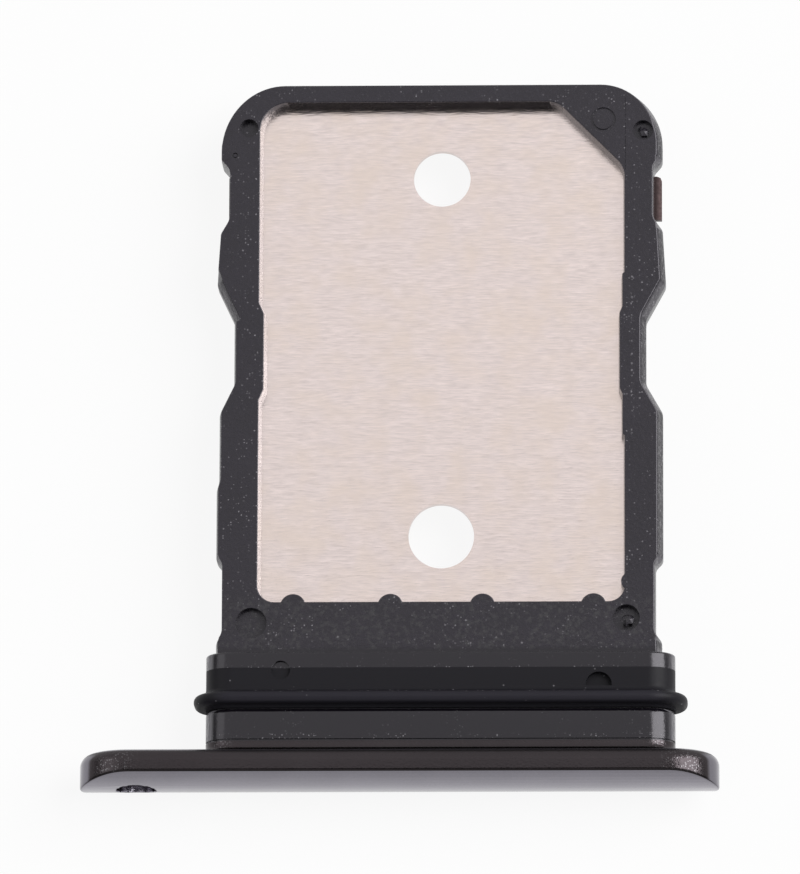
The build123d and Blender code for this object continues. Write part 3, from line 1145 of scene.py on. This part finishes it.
class TRAY_OT_stage(Operator):
    """Lay the floor, hang the lamps and set the camera"""

    bl_idname = "sim_tray.stage"
    bl_label = "Stage"

    def execute(self, context):
        self.floor(context)
        self.light(context)
        self.camera(context, context.scene.tray_stage)
        return {"FINISHED"}

    def floor(self, context):
        """Pale floor that shows as white to the eye, and keeps the tray's shadow."""
        put_down()
        bpy.ops.mesh.primitive_plane_add(size=6, location=(0, 0, 0))
        floor = bpy.context.object
        floor.name = "floor"
        material, bench = new_finish("pale_floor")
        colour = opaque(context.scene.tray_colours.floor)
        paper = bench.node("ShaderNodeBsdfDiffuse", None, {"Color": colour})
        white = bench.node("ShaderNodeEmission", None, {"Strength": 1.0})
        share = 0.9 * seen(bench, "Camera", "Transmission") + 0.75 * seen(bench, "Glossy")
        mixed = bench.node("ShaderNodeMixShader", None, {0: share, 1: paper, 2: white})
        bench.node("ShaderNodeOutputMaterial", None, {"Surface": mixed})
        floor.data.materials.append(material)

    def light(self, context):
        """White tent, dim along its foot, with a strong soft lamp on the right and a weak one on the left."""
        world = bpy.data.worlds.new("tent")
        context.scene.world = world
        world.use_nodes = True
        bench = NodeBench(world.node_tree)
        way = bench.node("ShaderNodeTexCoord", output="Generated")
        height = bench.part(way, "Z")
        far = bench.part(way, "Y")
        left = -1.0 * bench.part(way, "X")
        tent = bench.ramp(height + 0.6 * (far | 0.0) - 0.3 * (left | 0.0), 0.05, 0.4, 0.3, 1.0)
        fill = 0.35
        level = seen(bench, "Camera", "Transmission") | tent * seen(bench, "Glossy") | fill
        sky = bench.node("ShaderNodeBackground", None, {"Color": opaque((1, 1, 1)), "Strength": level})
        bench.node("ShaderNodeOutputWorld", None, {"Surface": sky})
        self.softbox("right_lamp", across=44, width=0.50, power=2.7)
        self.softbox("left_lamp", across=-52, width=0.34, power=0.26)

    def softbox(self, name, across, width, power):
        """Soft lamp that leans across the tray by an angle in degrees, and a little to the card end."""
        along, depth, far = 12, 0.36, 0.5
        put_down()
        way = Vector((sin(radians(across)), sin(radians(along)), cos(radians(across)))).normalized()
        turn = way.to_track_quat("Z", "Y").to_euler()
        bpy.ops.object.light_add(type="AREA", location=way * far, rotation=turn)
        lamp = bpy.context.object
        lamp.name = name
        lamp.data.shape = "RECTANGLE"
        lamp.data.size = depth
        lamp.data.size_y = width
        lamp.data.energy = power
        lamp.visible_camera = False

    def lens_card(self, place, turn):
        """Dark card round the lens, which the far wall of the pocket mirrors."""
        put_down()
        bpy.ops.mesh.primitive_circle_add(radius=0.075, fill_type="NGON", location=place, rotation=turn)
        card = bpy.context.object
        card.name = "lens_card"
        material, bench = new_finish("card_black")
        bench.surface({"Base Color": (0.01, 0.01, 0.01, 1.0), "Roughness": 0.9})
        card.data.materials.append(material)
        card.visible_camera = False

    def camera(self, context, s):
        """Camera above the tray, leaning towards the door, with its card behind it."""
        sensor, picture_height = 36, 874
        target = Vector((-0.02, 0.024, 1.2)) * MM
        put_down()
        back = Vector((cos(s.tilt) * sin(s.side), -sin(s.tilt), cos(s.tilt) * cos(s.side)))
        right = Vector((0, 1, 0)).cross(back).normalized()
        right = Matrix.Rotation(s.roll, 3, back) @ right
        up = back.cross(right)
        turn = Matrix((right, up, back)).transposed().to_euler()
        bpy.ops.object.camera_add(location=target + back * s.distance, rotation=turn)
        eye = bpy.context.object
        eye.data.sensor_width = sensor
        eye.data.lens = s.scale * s.distance / MM * sensor / picture_height
        eye.data.clip_start = 0.01
        eye.data.clip_end = 20
        context.scene.camera = eye
        self.lens_card(target + back * (s.distance + 0.005), turn)
        context.scene.view_settings.view_transform = "Standard"


class TRAY_PT_pieces(Panel):
    """Pieces of the tray in the order they are made"""

    bl_idname = "TRAY_PT_pieces"
    bl_label = "Sim tray"
    bl_space_type = "VIEW_3D"
    bl_region_type = "UI"
    bl_category = "Sim tray"

    def draw(self, context):
        for operator, group in steps:
            box = self.layout.box()
            box.operator(operator.bl_idname)
            self.list_settings(box, getattr(context.scene, group))
        box = self.layout.box()
        box.label(text="Colours")
        self.list_settings(box, context.scene.tray_colours)

    def list_settings(self, box, settings):
        """One row for each setting of a group."""
        for key in settings.__annotations__:
            box.prop(settings, key)


groups = {
    "tray_door": DoorSizes,
    "tray_carrier": CarrierSizes,
    "tray_seal": SealSizes,
    "tray_plate": PlateSizes,
    "tray_colours": FinishColours,
    "tray_stage": StageSettings,
}
steps = (
    (TRAY_OT_door, "tray_door"),
    (TRAY_OT_carrier, "tray_carrier"),
    (TRAY_OT_seal, "tray_seal"),
    (TRAY_OT_plate, "tray_plate"),
    (TRAY_OT_stage, "tray_stage"),
)


classes = (*groups.values(), *(operator for operator, _ in steps), TRAY_PT_pieces)


def register():
    for member in classes:
        bpy.utils.register_class(member)
    for key, group in groups.items():
        setattr(bpy.types.Scene, key, PointerProperty(type=group))


def unregister():
    for key in groups:
        delattr(bpy.types.Scene, key)
    for member in reversed(classes):
        bpy.utils.unregister_class(member)


def main():
    register()
    bpy.ops.sim_tray.door()
    bpy.ops.sim_tray.carrier()
    bpy.ops.sim_tray.seal()
    bpy.ops.sim_tray.plate()
    bpy.ops.sim_tray.stage()


if __name__ == "__main__":
    main()
